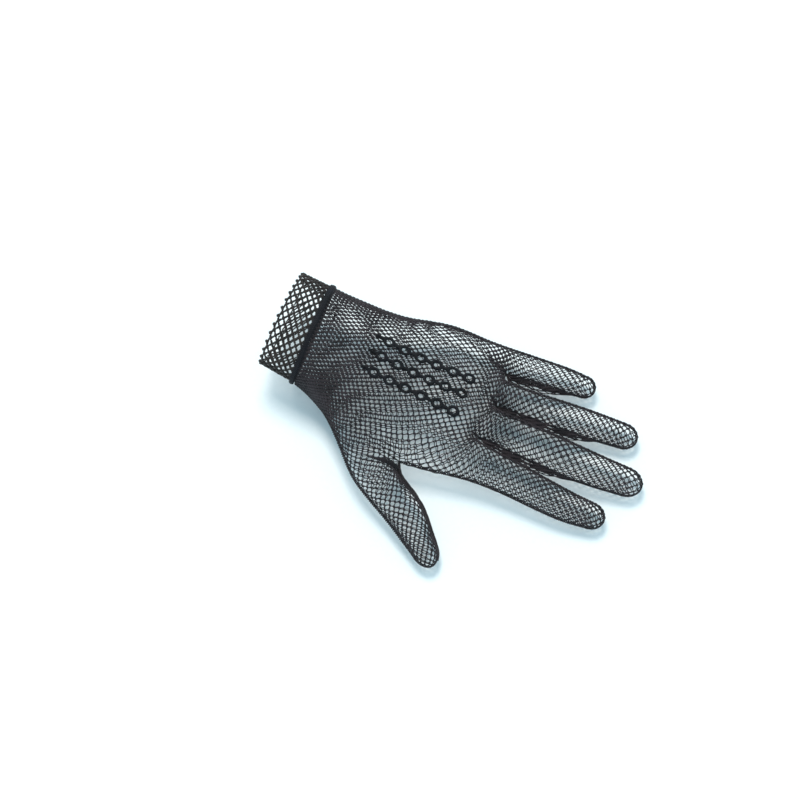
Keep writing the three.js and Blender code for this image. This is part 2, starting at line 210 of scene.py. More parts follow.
# An eyelet's wound ring, the wound bar to the next one, and the tail of loose thread at the row's wrist
# end. The thread's turns raise ribs on them, and flatness is their height as a share of their width.
# RING_OVAL is a ring's length and width as shares. The tail's strands thin towards their ends, drop to the
# net and end at one of TAIL_ENDS places.
STEPS_IN_A_TURN = 5
RING_RADIUS = 1.94
RING_THREAD = 0.75
RING_OVAL = (1.19, 0.98)
RING_HALF_LENGTH = RING_RADIUS * RING_OVAL[0]
RING_TURNS = 20
RING_SIDES = 8
RING_RIB = 0.1
RING_FLATNESS = 0.9
BAR_RADIUS = 0.87
BAR_TAPER = 0.15
BAR_TURNS = 7
BAR_SIDES = 9
BAR_RIB = 0.09
BAR_FLATNESS = 0.72
TAIL_LENGTH = 6.8
TAIL_YARN = 0.21
TAIL_LAY = 3 * TAIL_LENGTH
TAIL_THINNING = 0.3
TAIL_SPREAD = 5.0
TAIL_DROP = 0.3
TAIL_STRANDS = 11
TAIL_INNERMOST = 0.2
TAIL_POINTS = 16
TAIL_ENDS = 4
TAIL_KNOT = (2.2, 2.0, 1.6)
TAIL_KNOT_GAP = 1.1

# Sections of the tube round the wrist and the palm: along, side, height, half width, half height up and
# down, the exponent of the superellipse, which is 2 for an ellipse, and the section's yaw in degrees.
HAND = (
    (0, 0, 0, 25.4, 18, 18, 2, 4),
    (17.5, -0.7, -2.3, 25.9, 19, 19, 2, 5),
    (30, -0.6, -4.3, 26.0, 18, 18.3, 2.1, 3),
    (44, -1.3, -6.6, 28.2, 16.8, 17, 2.2, 0),
    (58, -2.1, -9, 32.4, 15.6, 15.8, 2.3, 0),
    (72, -2, -11, 36.4, 14.6, 14.6, 2.4, 0),
    (84, -2.1, -12.4, 37.3, 13.8, 13.2, 2.4, 0),
    (94, -2.8, -13.6, 35, 12.6, 12, 2.4, 0),
    (100, -3.4, -14.2, 32.6, 11.4, 11, 2.4, 0),
)
HAND_CAP = 9

# Sections of each digit: along, side, height, half width and half height. cap is its round tip's length.
DIGITS = {
    "pinky": {"cap": 6.2, "rows": (
        (78, 26, -13, 9, 9.5),
        (92, 28.7, -13.6, 7.9, 9),
        (104, 30.8, -14.4, 6.9, 7.8),
        (114, 32.4, -15.2, 6.7, 7),
        (127.5, 34.2, -16.8, 6.7, 6.7),
        (135, 35.4, -17.9, 6.5, 6.3),
        (144, 36.4, -19.2, 5.9, 5.5),
    )},
    "ring": {"cap": 7.4, "rows": (
        (80, 12, -12.6, 9.5, 11.5),
        (98, 12.9, -13.2, 7.6, 10),
        (110, 13.6, -13.8, 6.9, 8.6),
        (126, 14.9, -15, 7.1, 7.8),
        (146, 17.4, -16.8, 7.3, 7.3),
        (158, 18.9, -18, 7.2, 6.8),
        (171, 20.6, -19.6, 6.7, 5.9),
    )},
    "middle": {"cap": 9, "rows": (
        (80, -4, -12, 10, 12.5),
        (100, -3.6, -12.8, 8.6, 11),
        (114, -3.5, -13.5, 8.4, 9.6),
        (132, -3.4, -14.6, 8.9, 8.8),
        (152, -3.2, -16.2, 9, 8.3),
        (166, -2.4, -17.6, 8.4, 7.5),
        (180.5, -0.9, -19.4, 7.5, 6.4),
    )},
    "index": {"cap": 7.8, "rows": (
        (78, -22, -12.2, 11.5, 12),
        (98, -23.9, -13, 12.2, 10.8),
        (114, -23.9, -13.8, 9.8, 9.4),
        (130, -23.7, -15.2, 8.9, 8.6),
        (148, -24.5, -16.8, 8.3, 7.8),
        (160, -24.7, -18, 7.8, 7),
        (172, -23.8, -19.4, 6.8, 6),
    )},
    "thumb": {"cap": 10.5, "rows": (
        (28, -13.6, -8, 13.2, 13.5),
        (44, -22.5, -11, 11.8, 13),
        (58, -34, -13, 11.6, 12),
        (70, -46.5, -14.2, 10.8, 10.4),
        (80, -53.6, -15.2, 9.3, 9.2),
        (93.2, -60.1, -16.8, 9.1, 8.4),
        (107.9, -71.5, -18.8, 6.5, 6.9),
    )},
}

# The net, charted as strips from the little finger's side to the thumb's. columns counts the diamonds
# across the back, and as many cross the palm. rows counts the half diamonds from the band to the tip. root
# is the row where the digit leaves the hand, at the little finger's side of the strip and at the thumb's.
STRIPS = (
    {"name": "pinky", "columns": 6, "rows": 74, "root": (51, 51)},
    {"name": "ring", "columns": 6, "rows": 94, "root": (51, 53)},
    {"name": "middle", "columns": 7, "rows": 97, "root": (53, 55)},
    {"name": "index", "columns": 7, "rows": 97, "root": (55, 52)},
    {"name": "thumb", "columns": 8, "rows": 71, "root": (41, 31)},
)
# The webs between the strips: the row that each one is in, and its place in plan
WEBS = (
    {"row": 50, "along": 103, "side": 24.7},
    {"row": 52, "along": 109.4, "side": 8.9},
    {"row": 54, "along": 111, "side": -11.1},
    {"row": 40, "along": 83.2, "side": -41.6},
)
OUTER_EDGES = (-1, len(WEBS))
BACK, PALM = 0, 1
SIDES = ("back", "palm")

# Where the net bunches up, at each web and on the heel of the thumb, and where it is stretched thin, on the
# back and the forefinger. Each place has its reach, how much harder the strands pull there and how much
# thicker they are. The thicker yarn at the webs and round the wrist is partly painted shade, and the
# thinner yarn on the back and the forefinger partly a painted highlight.
GATHERS_AND_SHADING = (
    {"along": 103, "side": 24.7, "height": -13, "reach": 9, "pull": 1.3, "bulk": 0.35},
    {"along": 109.4, "side": 8.9, "height": -13, "reach": 9, "pull": 1.3, "bulk": 0.35},
    {"along": 111, "side": -11.1, "height": -13, "reach": 9, "pull": 1.3, "bulk": 0.35},
    {"along": 80, "side": -40, "height": -13, "reach": 8, "pull": 0.7, "bulk": 0.4},
    {"along": 34, "side": -22, "height": -8, "reach": 15, "pull": 0.9, "bulk": 0.1},
    {"along": 26, "side": 0, "height": -4, "reach": 30, "pull": 0, "bulk": 0.35},
    {"along": 80, "side": -4, "height": 2, "reach": 24, "pull": 0, "bulk": -0.16},
    {"along": 128, "side": -21, "height": -6, "reach": 22, "pull": 0, "bulk": -0.16},
)

# The camera, at the photo's angle
VIEW_AZIMUTH, VIEW_ELEVATION = 25, 65
VIEW_LENS = 85
VIEW_SENSOR = 36
VIEW_DISTANCE = 898.2
VIEW_TARGET = (68.43, -11.35, -9.56)

# The window's light and the light of the room, then the floor, which lies just under the palm
KEY_TOWARDS = (-0.5, 0.6, 1.95)
KEY_DISTANCE = 2200
KEY_SIZE = 1000
KEY_POWER = 35
KEY_COLOUR = "#fffaf2"
FILL_COLOUR = "#cdf1ff"
FILL_STRENGTH = 0.86
FLOOR_SIZE = 6000
FLOOR_GAP = 0.4


def add_object(name, data):
    made = bpy.data.objects.new(name, data)
    bpy.context.scene.collection.objects.link(made)
    return made


def place_camera():
    azimuth, elevation = math.radians(VIEW_AZIMUTH), math.radians(VIEW_ELEVATION)
    back = Vector((
        math.sin(azimuth) * math.cos(elevation),
        -math.cos(azimuth) * math.cos(elevation),
        math.sin(elevation),
    ))
    data = bpy.data.cameras.new("camera")
    data.lens = VIEW_LENS
    data.sensor_width = VIEW_SENSOR
    camera = add_object("camera", data)
    camera.location = (Vector(VIEW_TARGET) + back * VIEW_DISTANCE) * MM
    camera.rotation_mode = "QUATERNION"
    camera.rotation_quaternion = (-back).to_track_quat("-Z", "Y")
    bpy.context.scene.camera = camera


# The glove's form: how far digits and hand blend where they meet, and how the form's slope is found
FILLET = 4.0
SLOPE_STEP = 0.05
LEAST_SLOPE = 0.2
HAND_GROUP = -1


def unit(vectors):
    return vectors / np.maximum(np.linalg.norm(vectors, axis=-1, keepdims=True), TINY)


def dot(a, b):
    return (a * b).sum(-1)


def blend_rows(rows, count):
    """Catmull-Rom through every column of a table at once."""
    rows = np.array(rows, float)
    last = len(rows) - 1
    position = np.linspace(0, last, count)
    index = np.minimum(position.astype(int), last - 1)
    f = (position - index)[:, None]
    before, here = rows[np.maximum(index - 1, 0)], rows[index]
    ahead, after = rows[index + 1], rows[np.minimum(index + 2, last)]
    cubic = (-before + 3 * here - 3 * ahead + after) * f**3
    square = (2 * before - 5 * here + 4 * ahead - after) * f**2
    return 0.5 * (2 * here + (ahead - before) * f + square + cubic)


class Tube:
    """A tube of superelliptic sections through a table's rows. Its far end is round for the length cap, and
    its near end for ROUND_START. A position on it counts in samples."""

    SAMPLES = 72
    ROUND_START = 14

    def __init__(self, rows, cap):
        dense = blend_rows(rows, self.SAMPLES)
        self.last = self.SAMPLES - 1
        self.cap = cap
        self.centre = dense[:, :3]
        self.sizes = dense[:, 3:7]
        forward = unit(np.gradient(self.centre, axis=0))
        across = unit(np.cross((0, 0, 1.0), forward))
        yaw = np.radians(dense[:, 7:8])
        self.up = np.cross(forward, across)
        self.across = across * np.cos(yaw) - forward * np.sin(yaw)
        self.forward = forward * np.cos(yaw) + across * np.sin(yaw)
        self.spacing = np.linalg.norm(np.gradient(self.centre, axis=0), axis=1)

    def section(self, position):
        """The centre, the three directions and the sizes of the section at each position."""
        index = np.clip(position.astype(int), 0, self.last - 1)
        f = (position - index)[:, None]
        columns = (self.centre, self.across, self.up, self.forward, self.sizes)
        return [column[index] * (1 - f) + column[index + 1] * f for column in columns]

    def at_along(self, along):
        return np.interp(along, self.centre[:, 0], np.arange(self.SAMPLES))

    def point(self, position, angle, inset=0.0):
        """Points of the wall. A position past the last sample is on the round end, which is one more."""
        position = np.asarray(position, float)
        rise = np.clip(position - self.last, 0, 1) * math.pi / 2
        centre, across, up, forward, sizes = self.section(np.minimum(position, self.last))
        c, s, n = np.cos(angle), np.sin(angle), sizes[:, 3]
        reach = (np.abs(c) ** n + np.abs(s) ** n) ** (-1 / n) * np.cos(rise)
        tall = np.where(s >= 0, sizes[:, 1], sizes[:, 2])
        x = (sizes[:, 0] - inset) * c * reach
        y = (tall - inset) * s * reach
        z = (self.cap - inset) * np.sin(rise)
        return centre + across * x[:, None] + up * y[:, None] + forward * z[:, None]

    def distance(self, points):
        """How far points are outside the wall, near enough for points that are close to it."""
        offsets = ((points[:, None] - self.centre[None]) ** 2).sum(2)
        nearest = offsets.argmin(1)
        past = dot(points - self.centre[nearest], self.forward[nearest])
        position = np.clip(nearest + past / self.spacing[nearest], 0, self.last)
        centre, across, up, forward, sizes = self.section(position)
        v = points - centre
        x, y, z = dot(v, across), dot(v, up), dot(v, forward)
        tall = np.where(y >= 0, sizes[:, 1], sizes[:, 2])
        n = sizes[:, 3]
        flat = (np.abs(x / sizes[:, 0]) ** n + np.abs(y / tall) ** n) ** (1 / n)
        end = np.where(z > 0, z / self.cap, -z / self.ROUND_START)
        end = np.where((position <= 0) | (position >= self.last), end, 0)
        scale = np.maximum(np.hypot(flat, end), TINY)
        return np.sqrt(x * x + y * y + np.where(end > 0, z * z, 0)) * (1 - 1 / scale)


def digit_tube(name):
    """A digit's tube. Its sections are as tall below as above, elliptic and not yawed."""
    rows = [(*row, row[4], 2, 0) for row in DIGITS[name]["rows"]]
    return Tube(rows, DIGITS[name]["cap"])


hand_tube = Tube(HAND, HAND_CAP)
digit_tubes = [digit_tube(strip["name"]) for strip in STRIPS]


def soft_least(a, b):
    """The lesser of two distances, with the corner between them rounded."""
    share = np.maximum(FILLET - np.abs(a - b), 0) / FILLET
    return np.minimum(a, b) - share**2 * FILLET / 4


def form_distance(points, group):
    """Distance from the glove's form: a digit's own tube and the hand, or for the hand every tube."""
    found = hand_tube.distance(points)
    tubes = digit_tubes if group == HAND_GROUP else [digit_tubes[group]]
    for tube in tubes:
        found = soft_least(found, tube.distance(points))
    return found


def form_slope(points, group):
    """The distance from the form at each point, and how fast it grows along each axis."""
    here = form_distance(points, group)
    steps = [form_distance(points + SLOPE_STEP * axis, group) - here for axis in np.eye(3)]
    return here, np.stack(steps, -1) / SLOPE_STEP


def settle(points, groups, depth, times=1):
    """Moves points onto the form at a depth inside it, and gives the direction out of it at each."""
    points = points.copy()
    normals = np.zeros_like(points)
    for group in np.unique(groups):
        chosen = groups == group
        part = points[chosen]
        for _ in range(times):
            here, rise = form_slope(part, group)
            part = part - ((here + depth) / np.maximum(dot(rise, rise), LEAST_SLOPE))[:, None] * rise
        points[chosen] = part
        normals[chosen] = unit(rise)
    return points, normals


# The net's chart. Its columns and rows count half diamonds, and its knots are where their sum is even.

def width_of(strip):
    return 2 * STRIPS[strip]["columns"]


def end_row(strip, column):
    """The last row of a column, where the tip rounds off."""
    chart = STRIPS[strip]
    middle = chart["columns"]
    s = (column - middle) / middle
    depth = DIGITS[chart["name"]]["cap"] / ROW_HEIGHT
    row = chart["rows"] - round((1 - math.sqrt(1 - s * s)) * depth)
    return row - (row + column) % 2


def root_row(strip, column):
    near, far = STRIPS[strip]["root"]
    return near + (far - near) * column / width_of(strip)


def zigzag(gutter, row):
    """The column that a chain is in at a row, as it goes from side to side of its gutter."""
    return gutter + (gutter + row) % 2


def on_tip_edge(strip, column, row):
    return any(
        row + 1 > end_row(strip, column + side) or row > end_row(strip, column + side) + 1
        for side in (-1, 1)
        if 0 <= column + side <= width_of(strip)
    )


def tip_edge(strip):
    """The spots on the edge of a digit's tip, in order from the little finger's side to the thumb's."""
    edge = []
    for column in range(width_of(strip) + 1):
        outermost = column in (0, width_of(strip))
        rows = [
            row for row in range(end_row(strip, 0), end_row(strip, column) + 1)
            if (row + column) % 2 == 0 and (outermost or on_tip_edge(strip, column, row))
        ]
        if column > width_of(strip) / 2:
            rows.reverse()
        edge.extend((column, row) for row in rows)
    return edge


def knot_key(side, strip, column, row):
    """Which knot a spot on a strip is. Below a web two strips share their edge on each side of the hand, at
    the web all sides meet, and past it the back and the palm of one digit share it."""
    edge = {0: strip - 1, width_of(strip): strip}.get(column)
    if edge is None:
        return (BACK if on_tip_edge(strip, column, row) else side, strip, column, row)
    if edge in OUTER_EDGES or row > WEBS[edge]["row"]:
        return (BACK, strip, column, row)
    if row == WEBS[edge]["row"]:
        return ("web", edge)
    return (side, "edge", edge, row)


def chart_chains():
    """The numbers of the knots by their keys, the spot of each one, and every zigzag chain of yarn as its
    side, its strip and a list of (knot, row, column)."""
    numbers = {}
    spots = []
    chains = []
    for side in (BACK, PALM):
        for strip in range(len(STRIPS)):
            for gutter in range(width_of(strip)):
                chain = []
                row = 0
                while row <= end_row(strip, zigzag(gutter, row)):
                    column = zigzag(gutter, row)
                    key = knot_key(side, strip, column, row)
                    if key not in numbers:
                        numbers[key] = len(numbers)
                        spots.append((side, strip, column, row))
                    chain.append((numbers[key], row, column))
                    row += 1
                chains.append((side, strip, chain))
    return numbers, spots, chains


# The net laid on the form. Its knots start on the hand's tube and go over to their digit's in FADE_ROWS
# rows, from FADE_LEAD rows before the web, and at the thumb from THUMB_FADE_FROM. The thumb's own length is
# counted from THUMB_FIRST_ROW. Past ROUND_FROM of a digit's length the knots go round its tip.
ANGLE_SAMPLES = 720
FADE_ROWS = 14
FADE_LEAD = 10
THUMB_FADE_FROM = 2
THUMB_FIRST_ROW = 4
ROUND_FROM = 0.93
ROUND_MOST = 0.9

# Then the strands pull on them. In each step a knot goes PULL_SHARE of the way to the middle of its
# neighbours. After so many steps the knots settle on the form again, and after so many the strands are
# weighed again. At last each knot goes a little off its even place.
PULL_STEPS = 300
PULL_SHARE = 0.9
SETTLE_EVERY = 6
WEIGH_EVERY = 30
FIRST_SETTLINGS = 3
LAST_SETTLINGS = 2
UNEVENNESS = 0.09
UNEVEN_SEED = 7


def even_angles(tube, position, count):
    """Angles that share a section's girth evenly, from the little finger's side over the back."""
    fine = np.linspace(0, 2 * math.pi, ANGLE_SAMPLES)
    ring = tube.point(np.full(len(fine), float(position)), fine)
    run = run_along(ring)
    return np.interp(np.arange(count) / count * run[-1], run, fine)


def first_places(spots):
    """Where each knot starts, before the net is pulled even: round the hand, then along its digit."""
    side, strip, column, row = (np.array(values) for values in zip(*spots))
    starts = np.cumsum([0] + [width_of(k) for k in range(len(STRIPS))])
    total = starts[-1]
    sign = np.where(side == BACK, 1, -1)
    angles = even_angles(hand_tube, hand_tube.at_along(NET_START), 2 * total)
    angle = np.interp(starts[strip] + column, np.arange(2 * total), angles) * sign
    places = hand_tube.point(hand_tube.at_along(NET_START + ROW_HEIGHT * row), angle)
    for k, tube in enumerate(digit_tubes):
        own = strip == k
        r, c = row[own], column[own]
        thumb = k == len(WEBS)
        web = WEBS[min(k, len(WEBS) - 1)]
        first = THUMB_FIRST_ROW if thumb else web["row"]
        share = np.clip((r - first) / (STRIPS[k]["rows"] - first), 0, 1)
        begin = 0 if thumb else tube.at_along(web["along"])
        position = begin + share * (tube.last - begin)
        tip = np.clip((share - ROUND_FROM) / (1 - ROUND_FROM), 0, ROUND_MOST)
        start_angle = np.clip(1 - r / web["row"], 0, 1) * math.pi / 2 if thumb else 0
        phi = start_angle + (math.pi - start_angle) * c / width_of(k)
        laid = tube.point(position + tip, phi * sign[own])
        fade_from = THUMB_FADE_FROM if thumb else web["row"] - FADE_LEAD
        fade = np.clip((r - fade_from) / FADE_ROWS, 0, 1)
        fade = (fade * fade * (3 - 2 * fade))[:, None]
        places[own] = places[own] * (1 - fade) + laid * fade
    return places


def gathered(points, effect):
    """How much of an effect the gathers have at each point."""
    total = np.zeros(len(points))
    for spot in GATHERS_AND_SHADING:
        away = np.linalg.norm(points - (spot["along"], spot["side"], spot["height"]), axis=1)
        total += spot[effect] * np.exp(-(away / spot["reach"]) ** 2)
    return total


class Net:
    """The fine net: its knots by number, with their places and the directions out of the net there, and the
    chains of yarn through them. groups tells which part of the form a knot is on, and fixed which knots the
    pull of the strands leaves in place."""

    def __init__(self):
        self.numbers, self.spots, self.chains = chart_chains()
        self.links = np.array([
            (a[0], b[0]) for _, _, chain in self.chains for a, b in zip(chain, chain[1:])
        ])
        self.groups = np.array([
            HAND_GROUP if row <= root_row(strip, column) else strip for _, strip, column, row in self.spots
        ])
        self.fixed = np.array([row == 0 for *_, row in self.spots])
        self.places = first_places(self.spots)
        self.fix_webs_and_tips()
        self.places, self.normals = settle(self.places, self.groups, NET_DEPTH, FIRST_SETTLINGS)
        self.pull_even()

    def knots_at(self, strip, spots):
        """The numbers of the knots at spots of a strip, which are on its back or its edge."""
        return [self.numbers[knot_key(BACK, strip, column, row)] for column, row in spots]

    def fix(self, knots, places):
        self.places[knots] = places
        self.fixed[knots] = True

    def fix_webs_and_tips(self):
        for edge, (web, tube) in enumerate(zip(WEBS, digit_tubes)):
            centre = tube.section(tube.at_along(np.array([web["along"]])))[0][0]
            self.fix(self.numbers[("web", edge)], (web["along"], web["side"], centre[2]))
        for strip, tube in enumerate(digit_tubes):
            edge = tip_edge(strip)
            turns = np.linspace(0, 1, len(edge))
            position = tube.last + 1 - np.abs(2 * turns - 1)
            self.fix(self.knots_at(strip, edge), tube.point(position, np.where(turns < 0.5, 0, math.pi)))

    def pull_even(self):
        """Lets the strands pull until the diamonds even out, with each knot kept on the form."""
        count = len(self.places)
        near, far = np.concatenate([self.links, self.links[:, ::-1]]).T
        for step in range(PULL_STEPS):
            if step % WEIGH_EVERY == 0:
                force = 1 + gathered((self.places[near] + self.places[far]) / 2, "pull")
                weight = np.bincount(near, force, count)[:, None]
            total = np.stack([np.bincount(near, force * axis[far], count) for axis in self.places.T], -1)
            pull = total / weight - self.places
            pull -= dot(pull, self.normals)[:, None] * self.normals
            pull[self.fixed] = 0
            self.places = self.places + PULL_SHARE * pull
            if step % SETTLE_EVERY == SETTLE_EVERY - 1:
                self.places, self.normals = settle(self.places, self.groups, NET_DEPTH)
        shift = np.random.default_rng(UNEVEN_SEED).normal(0, UNEVENNESS, self.places.shape)
        shift[self.fixed] = 0
        self.places, self.normals = settle(self.places + shift, self.groups, NET_DEPTH, LAST_SETTLINGS)

    def bulk(self):
        """How thick the yarn is at each knot: it thins where the net is stretched and along a tip's edge,
        and fills out where the net is slack and where it bunches up. The gathers' share of this is partly
        painted shade at the webs and the wrist, and partly a painted highlight on the back and the
        forefinger."""
        ends = self.links.ravel()
        lengths = np.linalg.norm(self.places[self.links[:, 0]] - self.places[self.links[:, 1]], axis=1)
        mean = np.bincount(ends, np.repeat(lengths, 2)) / np.bincount(ends)
        stretched = np.clip(np.sqrt(EASY_STRAND / mean), LEAST_BULK, MOST_BULK)
        thick = stretched * (1 + gathered(self.places, "bulk"))
        for strip in range(len(STRIPS)):
            thick[self.knots_at(strip, tip_edge(strip))] *= TIP_SHARE
        return thick


# Paths of yarn. A path's first three columns are places, and a fourth is how thick the yarn is there.

def chain_frames(knots, places, normals):
    """At each knot of a chain: its place, and the directions out of the net, along its rows and to the side
    that the chain comes from."""
    at = places[knots]
    out = normals[knots]
    before, after = np.roll(at, 1, 0), np.roll(at, -1, 0)
    wale = unit(after - before)
    aside = (before + after) / 2 - at
    wale[0], wale[-1] = unit(at[min(2, len(at) - 1)] - at[0]), unit(at[-1] - at[max(len(at) - 3, 0)])
    aside[0], aside[-1] = at[1] - at[0], at[-2] - at[-1]
    wale = unit(wale - dot(wale, out)[:, None] * out)
    aside = aside - dot(aside, out)[:, None] * out
    aside = unit(aside - dot(aside, wale)[:, None] * wale)
    return at, out, wale, aside


def laid_chain(frames, thick, offset, run):
    """A chain's path, and the direction out of the net along it. At each knot it runs straight for a length
    either way, at an offset beside the chain that it meets there."""
    at, out, wale, aside = frames
    beside = at + aside * offset * thick[:, None]
    points = np.stack([beside - wale * run, beside + wale * run], 1).reshape(-1, 3)
    path = np.column_stack([points, np.repeat(thick, 2)])
    return path[1:-1], np.repeat(out, 2, axis=0)[1:-1]


def run_along(path):
    """The length from a path's start to each of its points."""
    return np.concatenate([[0], np.cumsum(np.linalg.norm(np.diff(path[:, :3], axis=0), axis=1))])


def resample(path, outs, step):
    """The same path with points at an even step."""
    run = run_along(path)
    count = max(2, round(run[-1] / step) + 1)
    marks = np.linspace(0, run[-1], count)
    spread = [np.stack([np.interp(marks, run, column) for column in table.T], 1) for table in (path, outs)]
    return spread[0], unit(spread[1])


def smoothed(path, times):
    for _ in range(times):
        path = path.copy()
        path[1:-1] = (path[:-2] + 2 * path[1:-1] + path[2:]) / 4
    return path


def plies(path, outs, radius, lay, count=2, start=0.0):
    """Paths that wind round a path, as the plies of a cord do. lay is the length of one turn, and start the
    angle at which the first ply starts."""
    ahead = unit(np.gradient(path[:, :3], axis=0))
    across = unit(np.cross(outs, ahead))
    out = np.cross(ahead, across)
    reach = radius * path[:, 3:]
    for k in range(count):
        angle = (2 * math.pi * (run_along(path) / lay + k / count) + start)[:, None]
        wound = path[:, :3] + reach * (np.cos(angle) * out + np.sin(angle) * across)
        yield np.column_stack([wound, path[:, 3]])


def loose_strands(path, outs, radius, lay, count, start, innermost):
    """Plies at uneven depths, of which the innermost is at that share of the radius."""
    for k, strand in enumerate(plies(path, outs, radius, lay, count, start)):
        depth = innermost + (1 - innermost) * (1 + math.sin(GOLDEN_ANGLE * k)) / 2
        strand[:, :3] = path[:, :3] + depth * (strand[:, :3] - path[:, :3])
        yield strand


def underside(outs, height_from, height_to):
    """How far the net faces down, from 0 at one height of the direction out of it to 1 at the other."""
    return np.clip((outs[:, 2] - height_from) / (height_to - height_from), 0, 1)


# Places on the back, which are found between two heights by halving
BACK_HEIGHTS = (-14.0, 14.0)
BACK_HALVINGS = 24


def back_point(along, side):
    """The point of the back over each place in plan, with the direction out of the net."""
    low, high = (np.full(len(along), height) for height in BACK_HEIGHTS)
    for _ in range(BACK_HALVINGS):
        middle = (low + high) / 2
        inside = form_distance(np.stack([along, side, middle], 1), HAND_GROUP) < 0
        low, high = np.where(inside, middle, low), np.where(inside, high, middle)
    points = np.stack([along, side, high], 1)
    return points, unit(form_slope(points, HAND_GROUP)[1])


def row_points(row, offsets):
    """Points on a row of eyelets at distances from its first ring, with the out and the row directions."""
    along = EYELET_FIRST + np.asarray(offsets, float)
    length = EYELET_OFFSETS[-1]
    share = np.maximum(along - EYELET_FIRST, 0) / length
    points, outs = back_point(along, row["side"] + row["drift"] * share**2)
    ahead = np.stack([np.ones_like(along), 2 * row["drift"] * share / length, np.zeros_like(along)], 1)
    return points, outs, unit(ahead - dot(ahead, outs)[:, None] * outs)


def nearest_eyelet(points, eyelets):
    return np.linalg.norm(points[:, None, :3] - eyelets[None], axis=2).min(1)


def cut_for_eyelets(path, outs, eyelets):
    """The stretches of a chain that are left where the eyelets open the net."""
    if nearest_eyelet(path, eyelets).min() > CUT_REACH:
        return [path]
    fine = resample(path, outs, CUT_STEP)[0]
    keep = nearest_eyelet(fine, eyelets) > EYELET_CUT
    edges = np.flatnonzero(np.diff(np.concatenate([[0], keep.astype(int), [0]])))
    return [fine[a:b] for a, b in zip(edges[::2], edges[1::2]) if b - a > 1]


# Meshes and the node trees that dress them

def node(tree, kind, links=None, **settings):
    """Adds a node with its settings, and gives each input a value or another node's socket."""
    made = tree.nodes.new(kind)
    for name, value in settings.items():
        setattr(made, name, value)
    for name, value in (links or {}).items():
        if isinstance(value, bpy.types.NodeSocket):
            tree.links.new(value, made.inputs[name])
        else:
            made.inputs[name].default_value = value
    return made


def geometry_tree(name, sockets):
    tree = bpy.data.node_groups.new(name, "GeometryNodeTree")
    tree.interface.new_socket("Base", in_out="INPUT", socket_type="NodeSocketGeometry")
    for label, kind in sockets.items():
        tree.interface.new_socket(label, in_out="INPUT", socket_type="NodeSocket" + kind)
    tree.interface.new_socket("Made", in_out="OUTPUT", socket_type="NodeSocketGeometry")
    return tree, node(tree, "NodeGroupInput").outputs


def close_tree(tree, geometry, material):
    real = node(tree, "GeometryNodeRealizeInstances", {"Geometry": geometry})
    smooth = node(tree, "GeometryNodeSetShadeSmooth", {"Geometry": real.outputs[0]})
    painted = node(tree, "GeometryNodeSetMaterial", {"Geometry": smooth.outputs[0], "Material": material})
    node(tree, "NodeGroupOutput", {"Made": painted.outputs[0]})
    return tree


def facing(tree):
    """The turn that sets an instance's Z out of the net and its X along the rows."""
    out, wale = (
        node(tree, "GeometryNodeInputNamedAttribute", {"Name": name}, data_type="FLOAT_VECTOR").outputs[0]
        for name in ("out", "wale")
    )
    return node(
        tree, "FunctionNodeAxesToRotation", {"Primary Axis": out, "Secondary Axis": wale},
        primary_axis="Z", secondary_axis="X",
    ).outputs[0]


@functools.cache
def yarn_tree():
    """Round yarn along every chain of edges, and a tight knot at each lone point."""
    tree, given = geometry_tree("Yarn and knots", {
        "Radius": "Float", "Sides": "Int", "Knot size": "Vector", "Material": "Material",
    })
    knot = node(tree, "GeometryNodeInputNamedAttribute", {"Name": "knot"}, data_type="BOOLEAN").outputs[0]
    thick = node(tree, "GeometryNodeInputNamedAttribute", {"Name": "thick"}, data_type="FLOAT").outputs[0]
    line = node(tree, "GeometryNodeMeshToCurve", {"Mesh": given["Base"]})
    path = node(tree, "GeometryNodeSetCurveRadius", {"Curve": line.outputs[0], "Radius": thick})
    length = node(tree, "GeometryNodeSplineParameter")
    measured = node(tree, "GeometryNodeStoreNamedAttribute", {
        "Geometry": path.outputs[0], "Name": "along", "Value": length.outputs["Length"],
    }, data_type="FLOAT", domain="POINT")
    circle = node(tree, "GeometryNodeCurvePrimitiveCircle", {
        "Resolution": given["Sides"], "Radius": given["Radius"],
    }, mode="RADIUS")
    turned = node(tree, "GeometryNodeStoreNamedAttribute", {
        "Geometry": circle.outputs[0], "Name": "round", "Value": length.outputs["Factor"],
    }, data_type="FLOAT", domain="POINT")
    yarn = node(tree, "GeometryNodeCurveToMesh", {
        "Curve": measured.outputs[0], "Profile Curve": turned.outputs[0], "Fill Caps": True,
    })
    # A ball that measures 1 across, so that its scale is the knot's size
    lump = node(tree, "GeometryNodeMeshUVSphere", {
        "Radius": 0.5, "Segments": KNOT_SEGMENTS, "Rings": KNOT_RINGS,
    })
    shaped = node(tree, "GeometryNodeTransform", {"Geometry": lump.outputs[0], "Scale": given["Knot size"]})
    place = node(tree, "ShaderNodeSeparateXYZ", {0: node(tree, "GeometryNodeInputPosition").outputs[0]})
    winding = node(tree, "ShaderNodeMath", {0: place.outputs["X"], 1: KNOT_WINDING}, operation="MULTIPLY")
    wound = node(tree, "GeometryNodeStoreNamedAttribute", {
        "Geometry": shaped.outputs[0], "Name": "along", "Value": winding.outputs[0],
    }, data_type="FLOAT", domain="POINT")
    knots = node(tree, "GeometryNodeInstanceOnPoints", {
        "Points": given["Base"], "Selection": knot, "Instance": wound.outputs[0], "Rotation": facing(tree),
        "Scale": thick,
    })
    both = node(tree, "GeometryNodeJoinGeometry", {"Geometry": yarn.outputs[0]})
    tree.links.new(knots.outputs[0], both.inputs[0])
    return close_tree(tree, both.outputs[0], given["Material"])


